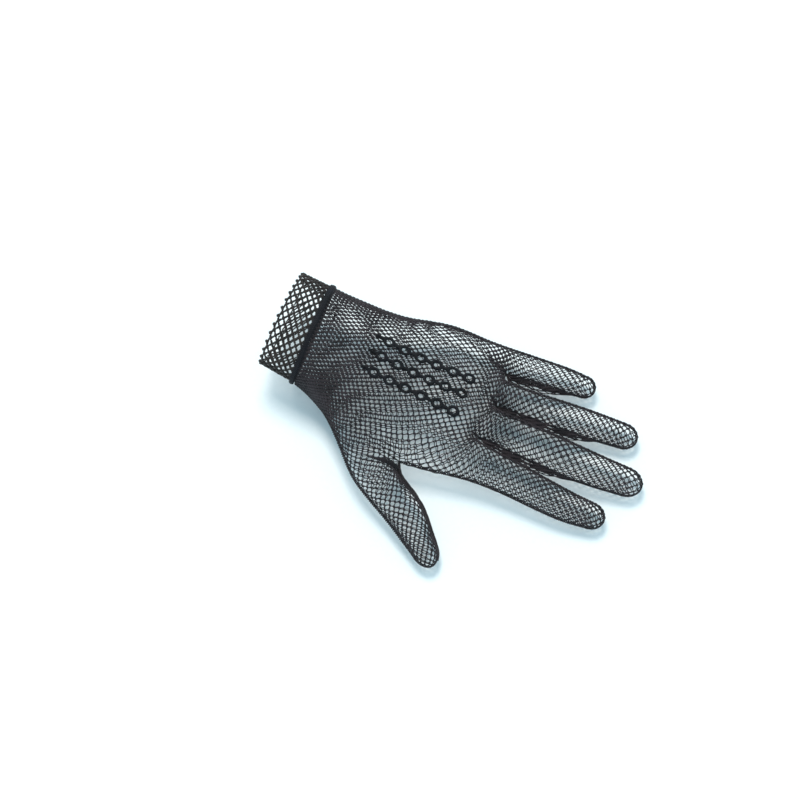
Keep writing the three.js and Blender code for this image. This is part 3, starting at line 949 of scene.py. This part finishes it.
def copies_tree():
    """A copy of one modelled piece at each point."""
    tree, given = geometry_tree("Copies on the net", {"Piece": "Object", "Material": "Material"})
    shape = node(tree, "GeometryNodeObjectInfo", {"Object": given["Piece"]}, transform_space="ORIGINAL")
    copies = node(tree, "GeometryNodeInstanceOnPoints", {
        "Points": given["Base"], "Instance": shape.outputs["Geometry"], "Rotation": facing(tree),
    })
    return close_tree(tree, copies.outputs[0], given["Material"])


def base_mesh(name, chains, points=None, outs=None, wales=None):
    """A mesh of paths as chains of edges, and of lone points that each know which way they face. Points may
    have a path's fourth column, and without it are at their full size."""
    paths = [*chains] if points is None else [*chains, points]
    table = np.concatenate([
        path if path.shape[1] == 4 else np.insert(path, 3, 1, axis=1) for path in paths
    ])
    edges = [np.zeros((0, 2), int)]
    start = 0
    for chain in chains:
        run = np.arange(start, start + len(chain) - 1)
        edges.append(np.stack([run, run + 1], 1))
        start += len(chain)
    mesh = bpy.data.meshes.new(name)
    mesh.from_pydata(table[:, :3] * MM, np.concatenate(edges).tolist(), [])
    is_knot = mesh.attributes.new("knot", "BOOLEAN", "POINT")
    is_knot.data.foreach_set("value", np.arange(len(table)) >= start)
    mesh.attributes.new("thick", "FLOAT", "POINT").data.foreach_set("value", table[:, 3].astype(np.float32))
    for label, vectors in (("out", outs), ("wale", wales)):
        values = np.zeros((len(table), 3), np.float32)
        if vectors is not None:
            values[start:] = vectors
        mesh.attributes.new(label, "FLOAT_VECTOR", "POINT").data.foreach_set("vector", values.ravel())
    return mesh


def grown(base, tree, inputs):
    """The plain mesh that a tree makes of a base mesh."""
    source = add_object(base.name, base)
    modifier = source.modifiers.new("nodes", "NODES")
    modifier.node_group = tree
    for item in tree.interface.items_tree:
        if item.in_out == "INPUT" and item.name in inputs:
            modifier[item.identifier] = inputs[item.name]
    graph = bpy.context.evaluated_depsgraph_get()
    mesh = bpy.data.meshes.new_from_object(source.evaluated_get(graph))
    bpy.data.objects.remove(source)
    bpy.data.meshes.remove(base)
    for label in ("knot", "thick", "out", "wale"):
        if label in mesh.attributes:
            mesh.attributes.remove(mesh.attributes[label])
    return mesh


def grown_yarn(base, radius, sides, material, knot=(0, 0, 0)):
    """Yarn along the chains of a base mesh, and a knot of a given size at each lone point."""
    return grown(base, yarn_tree(), {
        "Radius": radius * MM, "Sides": sides, "Material": material,
        "Knot size": tuple(size * MM for size in knot),
    })


def piece(name, meshes, cad_node):
    """Joins meshes into one piece of the glove, fixed to the root body, which stands for a CAD node and
    hides it.
    """
    parts = [add_object(name, mesh) for mesh in meshes]
    if len(parts) > 1:
        with bpy.context.temp_override(active_object=parts[0], selected_editable_objects=parts):
            bpy.ops.object.join()
    whole = parts[0]
    whole.data.name = name
    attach(whole, "root")
    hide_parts(cad_node)


def surface_mesh(name, grid, material, closed_rows=True):
    """A smooth mesh over rows of points, each row closed on itself. The last row meets the first one, or
    else both get a cap."""
    rows, columns = grid.shape[:2]
    number = np.arange(rows * columns).reshape(rows, columns)
    a = number if closed_rows else number[:-1]
    b = np.roll(number, -1, 0) if closed_rows else number[1:]
    faces = np.stack([a, np.roll(a, -1, 1), np.roll(b, -1, 1), b], -1).reshape(-1, 4).tolist()
    if not closed_rows:
        faces += [number[0, ::-1].tolist(), number[-1].tolist()]
    mesh = bpy.data.meshes.new(name)
    mesh.from_pydata(grid.reshape(-1, 3) * MM, [], faces)
    mesh.shade_smooth()
    mesh.materials.append(material)
    return mesh


# Materials. Real filaments are about 0.02 mm thick, too fine to show, so FIBRE_GRAIN draws them coarser,
# and they make a yarn up to so much smoother or rougher. The dye takes unevenly over a few diamonds of the
# net, and the grooves of the twist are painted a little darker, as painted shade.
FIBRE_GRAIN = 0.25
DYE_PATCH = 9
GROOVE_SHADE = 0.18
TONE_RANGE = (0.3, 0.75)
SMOOTHER, ROUGHER = 0.1, 0.12
GROOVE_DEPTH = 0.06
GROOVE_STRENGTH = 0.6
SHEEN_ROUGHNESS = 0.45
FIBRE_IOR = 1.53
PAPER_GRAIN = 2
PAPER_ROUGHNESS = 0.9
PAPER_TONES = ("#f3f5f7", "#fafbfc")


def linear(colour):
    """A colour's sRGB hex value as linear red, green, blue and alpha."""
    channels = [int(colour[k:k + 2], 16) / 255 for k in (1, 3, 5)]
    return (*[c / 12.92 if c <= 0.04045 else ((c + 0.055) / 1.055) ** 2.4 for c in channels], 1)


def new_material(name):
    material = bpy.data.materials.new(name)
    material.use_nodes = True
    return material, material.node_tree, material.node_tree.nodes["Principled BSDF"]


def yarn_material(name, dark, light, lay, roughness, sheen, gloss, fuzz):
    """Twisted filament yarn, whose groove winds round it once in each lay. fuzz is how high the fibres
    stand beside the groove."""
    material, tree, shader = new_material(name)
    along = node(tree, "ShaderNodeAttribute", attribute_name="along").outputs["Fac"]
    around = node(tree, "ShaderNodeAttribute", attribute_name="round").outputs["Fac"]
    turns = node(tree, "ShaderNodeMath", {0: along, 1: 1 / (lay * MM), 2: around}, operation="MULTIPLY_ADD")
    angle = node(tree, "ShaderNodeMath", {0: turns.outputs[0], 1: 2 * math.pi}, operation="MULTIPLY")
    groove = node(tree, "ShaderNodeMath", {0: angle.outputs[0]}, operation="SINE")
    place = node(tree, "ShaderNodeTexCoord").outputs["Object"]
    dye = node(tree, "ShaderNodeTexNoise", {
        "Vector": place, "Scale": 1 / (DYE_PATCH * MM), "Detail": 3.0,
    })
    fibre = node(tree, "ShaderNodeTexNoise", {
        "Vector": place, "Scale": 1 / (FIBRE_GRAIN * MM), "Detail": 2.0,
    })
    # The twist's turn darkens the colour in its grooves and lightens it on the ridges: painted shade and
    # light
    tone = node(tree, "ShaderNodeMath", {
        0: groove.outputs[0], 1: GROOVE_SHADE, 2: dye.outputs["Fac"],
    }, operation="MULTIPLY_ADD")
    ramp = node(tree, "ShaderNodeValToRGB", {"Fac": tone.outputs[0]})
    for element, position, colour in zip(ramp.color_ramp.elements, TONE_RANGE, (dark, light)):
        element.position = position
        element.color = linear(colour)
    worn = node(tree, "ShaderNodeMapRange", {
        "Value": fibre.outputs["Fac"], "To Min": roughness - SMOOTHER, "To Max": roughness + ROUGHER,
    })
    height = node(tree, "ShaderNodeMath", {
        0: fibre.outputs["Fac"], 1: fuzz, 2: groove.outputs[0],
    }, operation="MULTIPLY_ADD")
    bump = node(tree, "ShaderNodeBump", {
        "Strength": GROOVE_STRENGTH, "Distance": GROOVE_DEPTH * MM, "Height": height.outputs[0],
    })
    tree.links.new(ramp.outputs["Color"], shader.inputs["Base Color"])
    tree.links.new(worn.outputs[0], shader.inputs["Roughness"])
    tree.links.new(bump.outputs[0], shader.inputs["Normal"])
    shader.inputs["Sheen Weight"].default_value = sheen
    shader.inputs["Sheen Roughness"].default_value = SHEEN_ROUGHNESS
    shader.inputs["Specular IOR Level"].default_value = gloss
    shader.inputs["IOR"].default_value = FIBRE_IOR
    return material


def floor_material():
    """Matt white paper: a faint grain and nothing else."""
    material, tree, shader = new_material("matt white paper")
    place = node(tree, "ShaderNodeTexCoord").outputs["Object"]
    grain = node(tree, "ShaderNodeTexNoise", {
        "Vector": place, "Scale": 1 / (PAPER_GRAIN * MM), "Detail": 2.0,
    })
    ramp = node(tree, "ShaderNodeValToRGB", {"Fac": grain.outputs["Fac"]})
    for element, colour in zip(ramp.color_ramp.elements, PAPER_TONES):
        element.color = linear(colour)
    tree.links.new(ramp.outputs["Color"], shader.inputs["Base Color"])
    shader.inputs["Roughness"].default_value = PAPER_ROUGHNESS
    return material


# The pieces of the fine net

def hand_and_digits(yarn):
    """The fine net with its seams, as the back and the palm of the hand and the five digits."""
    net = Net()
    thick = net.bulk()
    eyelets = np.concatenate([row_points(row, EYELET_OFFSETS)[0] for row in EYELET_ROWS])
    paths, wales = net_paths(net, thick, eyelets)
    for found in (seam_paths(net), bunch_and_shade_paths(net)):
        for name, made in found.items():
            paths[name].extend(made)
    knots = net_knots(net, eyelets)
    knot_share = np.array([PALM_SHARE if side == PALM else 1 for side, *_ in net.spots])
    for name in paths:
        chosen = np.array(knots[name])
        lone = np.column_stack([net.places[chosen], (thick * knot_share)[chosen]])
        base = base_mesh(name, paths[name], lone, net.normals[chosen], unit(wales[chosen]))
        mesh = grown_yarn(base, NET_YARN, THIN_SIDES, yarn, NET_KNOT)
        if name in SIDES:
            piece(f"hand_net_{name}", [mesh], "hand_net")
        else:
            piece(f"{name}_stall_net", [mesh], f"{name}_stall")


def net_paths(net, thick, eyelets):
    """The paths of all chains by the name of their piece, and the direction of the rows at each knot."""
    paths = {}
    wales = np.zeros_like(net.places)
    for side, strip, chain in net.chains:
        if len(chain) < 2:
            continue
        knots = np.array([number for number, _, _ in chain])
        frames = chain_frames(knots, net.places, net.normals)
        wales[knots] += frames[2]
        share = PALM_SHARE if side == PALM else 1
        path, outs = laid_chain(frames, thick[knots] * share, KNOT_ASIDE * NET_YARN, KNOT_RUN)
        split = sum(row <= root_row(strip, column) for _, row, column in chain)
        # The points 2k - 1 and 2k of the path are at the chain's knot k
        runs = [(SIDES[side], 0, split), (STRIPS[strip]["name"], split - 1, len(chain))]
        for name, a, b in runs:
            first, last = max(2 * a - 1, 0), min(2 * b - 1, len(path))
            if last - first > 1:
                cut = cut_for_eyelets(path[first:last], outs[first:last], eyelets)
                paths.setdefault(name, []).extend(cut)
    return paths, wales


def net_knots(net, eyelets):
    """The numbers of each piece's knots, without those where the eyelets open the net."""
    knots = {}
    for number in np.flatnonzero(nearest_eyelet(net.places, eyelets) > KNOT_CUT):
        side, strip, _, _ = net.spots[number]
        name = SIDES[side] if net.groups[number] == HAND_GROUP else STRIPS[strip]["name"]
        knots.setdefault(name, []).append(number)
    return knots


def seam_paths(net):
    """The two plies of the seam round the outline of the glove, by the piece that each stretch is in."""
    found = {}
    for strip, chart in enumerate(STRIPS):
        tip = tip_edge(strip)
        first_tip_row = end_row(strip, 0)
        near_row = 0 if strip == 0 else WEBS[strip - 1]["row"]
        far_row = 0 if strip == len(WEBS) else WEBS[strip]["row"]
        near = [(0, row) for row in range(near_row, first_tip_row, 2)]
        far = [(width_of(strip), row) for row in range(far_row, first_tip_row, 2)]
        loop = near + tip + far[::-1]
        owner = ["back" if row < root_row(strip, column) - 1 else chart["name"] for column, row in loop]
        # Thicker on the thumb's side of the forefinger and on the thumb: partly the seam, partly painted
        # shade
        outer = OUTER_SEAM_AND_SHADE if chart["name"] in ("index", "thumb") else 1
        thick = np.array([1] * len(near) + [TIP_SEAM] * len(tip) + [outer] * len(far))
        knots = net.knots_at(strip, loop)
        path = smoothed(np.column_stack([net.places[knots], thick]), SEAM_SMOOTHINGS)
        outs = net.normals[knots]
        bounds = [0, *[k for k in range(1, len(loop)) if owner[k] != owner[k - 1]], len(loop)]
        for a, b in zip(bounds, bounds[1:]):
            part, part_outs = resample(path[a:b + 1], outs[a:b + 1], SEAM_STEP)
            for ply in plies(part, part_outs, SEAM_PLY, SEAM_LAY):
                ply[:, 3] *= SEAM_YARN / NET_YARN
                found.setdefault(owner[a], []).append(ply)
    return found


def bunch_and_shade_paths(net):
    """The bundles of strands at the webs, partly bunched net and partly painted shade: one down the side of
    each digit, which at the thumb goes on round its tip, and a short one back over the hand, which at the
    thumb slants across its root."""
    found = {}
    for edge, web in enumerate(WEBS):
        thumb = edge == len(WEBS) - 1
        near, far = (edge, width_of(edge)), (edge + 1, 0)
        (strip, column), (across, across_column) = (far, near) if thumb else (near, far)
        name = STRIPS[strip]["name"]
        size, back = GAP_BUNCHES_AND_SHADE[name], BACK_BUNCHES_AND_SHADE[name]
        last = min(web["row"] + round(size["length"] / ROW_HEIGHT), end_row(strip, column))
        rows = range(web["row"], last, 2)
        knots = net.knots_at(strip, [(column, row) for row in rows])
        opposite = net.knots_at(across, [(across_column, row) for row in rows])
        if thumb:
            tip = tip_edge(strip)
            tip = net.knots_at(strip, tip[:round(THUMB_TIP_SHARE * len(tip))])
            knots += tip
            opposite += opposite[-1:] * len(tip)
            behind, outs = back_point(*np.linspace(*THUMB_FOLD, THUMB_FOLD_POINTS).T)
        else:
            rows = range(web["row"], web["row"] - round(back["length"] / ROW_HEIGHT), -2)
            fold = net.knots_at(strip, [(column, row) for row in rows])
            behind, outs = net.places[fold], net.normals[fold]
        gap = bundle(net.places[knots], net.normals[knots], size, net.places[opposite])
        found.setdefault(name, []).extend(gap)
        found.setdefault("back", []).extend(bundle(behind, outs, back))
    return found


def bundle(places, normals, size, across=None):
    """Strands that wind loosely along a path from a web, at uneven depths in the bundle. Beside a gap,
    whose other edge is across, the bundle lies in the gap and fills it with dark strands, partly as painted
    shade. Otherwise it stands proud of the net."""
    run = run_along(places)
    share = np.clip((run - size["full"]) / (run[-1] - size["full"]), 0, 1) ** size["taper"]
    half = np.full(len(places), size["start"])
    lead = FOLD_RISE * normals
    if across is not None:
        half = np.minimum(half, np.linalg.norm(across - places, axis=1) / 2)
        lead = unit(across - places)
    proud = (1 - share) * half + share * BUNCH_PROUD * size["end"]
    spread = (1 - share) * np.maximum(half + BUNCH_OVERLAP, BUNCH_LEAST) + share * size["end"]
    spread[0] = BUNCH_NECK
    path = np.column_stack([places + proud[:, None] * lead, spread])
    path, outs = resample(smoothed(path, BUNCH_SMOOTHINGS), normals, BUNCH_STEP)
    # The web's place across the hand serves as an angle, so that no two bundles wind alike
    start = places[0, 1]
    strands = list(loose_strands(path, outs, 1, BUNCH_LAY, BUNCH_STRANDS, start, BUNCH_INNERMOST))
    for strand in strands:
        strand[:, 3] = BUNCH_YARN / NET_YARN
    return strands


# The cuff, the band and the eyelets

def cuff(yarn):
    """The coarse net of the cuff: two-ply strands, knotted where they meet, and a zigzag at its edge."""
    count = 2 * CUFF_COLUMNS
    rows = [CUFF_EDGE, *(CUFF_FIRST_ROW + CUFF_ROW_HEIGHT * np.arange(CUFF_ROWS))]
    places, normals = [], []
    for row in rows:
        position = np.full(count, hand_tube.at_along(row))
        angles = even_angles(hand_tube, position[0], count)
        ring = hand_tube.point(position, angles, CUFF_DEPTH)
        places.append(ring)
        normals.append(unit(hand_tube.point(position, angles) - ring))
    places, normals = np.concatenate(places), np.concatenate(normals)
    thick = 1 - (1 - CUFF_UNDER_SHARE) * underside(normals, *CUFF_UNDERSIDE)
    thick[:count] *= CUFF_EDGE_SHARE
    paths = []
    wales = np.zeros_like(places)
    for gutter in range(count):
        knots = np.array([row * count + zigzag(gutter, row) % count for row in range(len(rows))])
        frames = chain_frames(knots, places, normals)
        wales[knots] += frames[2]
        path, outs = laid_chain(frames, thick[knots], CUFF_KNOT_ASIDE * CUFF_PLY, CUFF_KNOT_RUN)
        path, outs = resample(path, outs, CUFF_STEP)
        start = GOLDEN_ANGLE * gutter
        path = smoothed(path, CUFF_SMOOTHINGS)
        paths.extend(plies(path, outs, CUFF_PLY_ASIDE * CUFF_PLY, CUFF_LAY, start=start))
    number = np.arange(len(places))
    chosen = number[(number // count + number % count) % 2 == 0]
    lone = np.column_stack([places[chosen], thick[chosen]])
    base = base_mesh("cuff", paths, lone, normals[chosen], unit(wales[chosen]))
    mesh = grown_yarn(base, CUFF_PLY, STOUT_SIDES, yarn, CUFF_KNOT)
    piece("cuff_net_yarn", [mesh], "cuff_net")


def band_line(angles):
    """The middle of the band at each angle: its place, the directions out and ahead, and how much of its
    full width the band has."""
    position = np.full(len(angles), hand_tube.at_along(BAND_MIDDLE))
    path = hand_tube.point(position, angles, BAND_DEPTH)
    outs = unit(path - hand_tube.point(position, angles, BAND_DEPTH + 1))
    ahead = unit(np.cross(outs, np.roll(path, -1, 0) - np.roll(path, 1, 0)))
    under = underside(outs, *BAND_UNDERSIDE)[:, None]
    return path - BAND_UNDER_SLIP * under * ahead, outs, ahead, 1 - (1 - BAND_UNDER_SHARE) * under


def band_stitches():
    """The slanted stitches round the band, inside and out."""
    angles = even_angles(hand_tube, hand_tube.at_along(BAND_MIDDLE), STITCHES)
    stitches = []
    for row in STITCH_ROWS:
        at, out, along, share = band_line(angles + row["shift"] * 2 * math.pi / STITCHES)
        around = np.cross(along, out)
        half = along * STITCH_HALF_LENGTH * share + around * STITCH_SLANT * row["lean"]
        for face in (out, -out):
            rise = row["proud"] * (BAND_WALL / 2 - STITCH_INSET)
            middle = at + along * row["across"] * share + face * rise
            arches = [middle + half * reach + face * bend for reach, bend in STITCH_ARCH]
            stitches.extend(np.stack(arches, 1))
    return stitches


def wrist_band(elastic):
    """A narrow elastic covered in slanted stitches."""
    position = hand_tube.at_along(BAND_MIDDLE)
    path, outs, ahead, share = band_line(even_angles(hand_tube, position, BAND_SECTIONS))
    theta = np.linspace(0, 2 * math.pi, BAND_SIDES, endpoint=False)
    squared = np.sign(np.cos(theta)) * np.abs(np.cos(theta)) ** BAND_SQUARENESS
    x = squared * (BAND_WIDTH / 2 - BAND_CORE_INSET)
    y = np.sin(theta) * (BAND_WALL / 2 - BAND_CORE_INSET)
    grid = path[:, None] + ahead[:, None] * (share * x)[:, :, None] + outs[:, None] * y[None, :, None]
    core = surface_mesh("band core", grid, elastic)
    cover = grown_yarn(base_mesh("band stitches", band_stitches()), STITCH_THREAD, THIN_SIDES, elastic)
    piece("wrist_band_elastic", [core, cover], "wrist_band")


def wound_ring(thread):
    """One eyelet: thread wound tight round a ring, a little longer along the row than across it."""
    turn = np.linspace(0, 2 * math.pi, STEPS_IN_A_TURN * RING_TURNS, endpoint=False)[:, None]
    theta = np.linspace(0, 2 * math.pi, RING_SIDES, endpoint=False)[None]
    radius = RING_THREAD * (1 + RING_RIB * np.cos(RING_TURNS * turn - theta))
    reach = RING_RADIUS + radius * np.cos(theta)
    x, y = reach * np.cos(turn) * RING_OVAL[0], reach * np.sin(turn) * RING_OVAL[1]
    return surface_mesh("wound ring", np.stack([x, y, radius * np.sin(theta) * RING_FLATNESS], -1), thread)


def wound_bar(thread):
    """One bar between two eyelets, wound with the same thread."""
    half = EYELET_PITCH / 2 - RING_HALF_LENGTH
    share = np.linspace(-1, 1, STEPS_IN_A_TURN * BAR_TURNS)[:, None]
    theta = np.linspace(0, 2 * math.pi, BAR_SIDES, endpoint=False)[None]
    rib = 1 + BAR_RIB * np.cos(math.pi * BAR_TURNS * (share + 1) - theta)
    radius = BAR_RADIUS * (1 - BAR_TAPER * share**2) * rib
    x, y = half * share + 0 * theta, radius * np.cos(theta)
    z = BAR_FLATNESS * radius * np.sin(theta)
    return surface_mesh("wound bar", np.stack([x, y, z], -1), thread, closed_rows=False)


def row_tail(row, number, thread):
    """The knot and the loose ends of the thread at the wrist end of a row. The row's number turns the ends,
    so that no two tails are alike."""
    share = np.linspace(0, 1, TAIL_POINTS)
    points, outs, _ = row_points(row, -RING_RADIUS - (TAIL_LENGTH - RING_RADIUS) * share)
    lift = EYELET_RISE - TAIL_DROP * share**2
    path = np.column_stack([points + outs * lift[:, None], 1 + (TAIL_SPREAD - 1) * share])
    strands = loose_strands(path, outs, TAIL_YARN, TAIL_LAY, TAIL_STRANDS, number, TAIL_INNERMOST)
    ends = []
    for k, end in enumerate(strands):
        end[:, 3] = 1 - TAIL_THINNING * share
        ends.append(end[:len(end) - k % TAIL_ENDS])
    knot, out, ahead = row_points(row, [-RING_HALF_LENGTH - TAIL_KNOT_GAP])
    base = base_mesh("tail", ends, knot + out * EYELET_RISE, out, ahead)
    return grown_yarn(base, TAIL_YARN, STOUT_SIDES, thread, TAIL_KNOT)


def eyelet_rows(thread):
    """Each row of eyelets: six wound rings joined by wound bars, with the thread's end as a tail."""
    tree = copies_tree()
    ring, bar = add_object("ring", wound_ring(thread)), add_object("bar", wound_bar(thread))
    bar_offsets = EYELET_OFFSETS[:-1] + EYELET_PITCH / 2
    for number, row in enumerate(EYELET_ROWS):
        meshes = []
        for shape, offsets in ((ring, EYELET_OFFSETS), (bar, bar_offsets)):
            points, outs, ahead = row_points(row, offsets)
            base = base_mesh(shape.name, [], points + outs * EYELET_RISE, outs, ahead)
            meshes.append(grown(base, tree, {"Piece": shape, "Material": thread}))
        meshes.append(row_tail(row, number, thread))
        piece(f"eyelet_row_{number + 1}_thread", meshes, f"eyelet_row_{number + 1}")
    for shape in (ring, bar):
        bpy.data.objects.remove(shape)


# The stage and the lights

def place_floor():
    half = FLOOR_SIZE / 2
    height = cad_low.z / MM - FLOOR_GAP
    corners = [(-half, -half, height), (half, -half, height), (half, half, height), (-half, half, height)]
    mesh = bpy.data.meshes.new("floor")
    mesh.from_pydata([tuple(MM * c for c in corner) for corner in corners], [], [(0, 1, 2, 3)])
    mesh.materials.append(floor_material())
    add_object("floor", mesh)


def place_lights():
    lamp = bpy.data.lights.new("window light", "AREA")
    lamp.shape = "DISK"
    lamp.size = KEY_SIZE * MM
    lamp.energy = KEY_POWER
    lamp.color = linear(KEY_COLOUR)[:3]
    key = add_object("window light", lamp)
    towards = Vector(KEY_TOWARDS).normalized()
    key.location = (Vector(VIEW_TARGET) + towards * KEY_DISTANCE) * MM
    key.rotation_mode = "QUATERNION"
    key.rotation_quaternion = towards.to_track_quat("Z", "Y")
    world = bpy.data.worlds.new("studio")
    bpy.context.scene.world = world
    world.use_nodes = True
    sky = world.node_tree.nodes["Background"]
    sky.inputs["Color"].default_value = linear(FILL_COLOUR)
    sky.inputs["Strength"].default_value = FILL_STRENGTH
    bpy.context.scene.view_settings.view_transform = "Standard"


place_camera()

# Crimped nylon filaments, loosely twisted and dyed black: soft and matt, a little brown in the light
net_yarn = yarn_material(
    "textured nylon net yarn", "#1b1417", "#392e32",
    lay=1.1, roughness=0.66, sheen=0.06, gloss=0.3, fuzz=0.5,
)
# The same nylon, thicker and in two plies: as matt, with the groove of its twist plain to see
cuff_yarn = yarn_material(
    "two-ply nylon cuff yarn", "#1d1615", "#3d322e",
    lay=0.9, roughness=0.66, sheen=0.06, gloss=0.3, fuzz=0.5,
)
# Elastic closely covered with fine thread: denser and darker than the net, with a dull gloss
elastic_thread = yarn_material(
    "covered elastic thread", "#0d0b10", "#1f1b24",
    lay=0.7, roughness=0.55, sheen=0.03, gloss=0.25, fuzz=0.4,
)
# Smooth rayon wound turn on turn: the deepest black of the glove, with none of the nylon's soft sheen
wound_thread = yarn_material(
    "wound rayon thread", "#040306", "#0f0c14",
    lay=0.8, roughness=0.55, sheen=0.0, gloss=0.2, fuzz=0.3,
)
hand_and_digits(net_yarn)
cuff(cuff_yarn)
wrist_band(elastic_thread)
eyelet_rows(wound_thread)
place_floor()
place_lights()
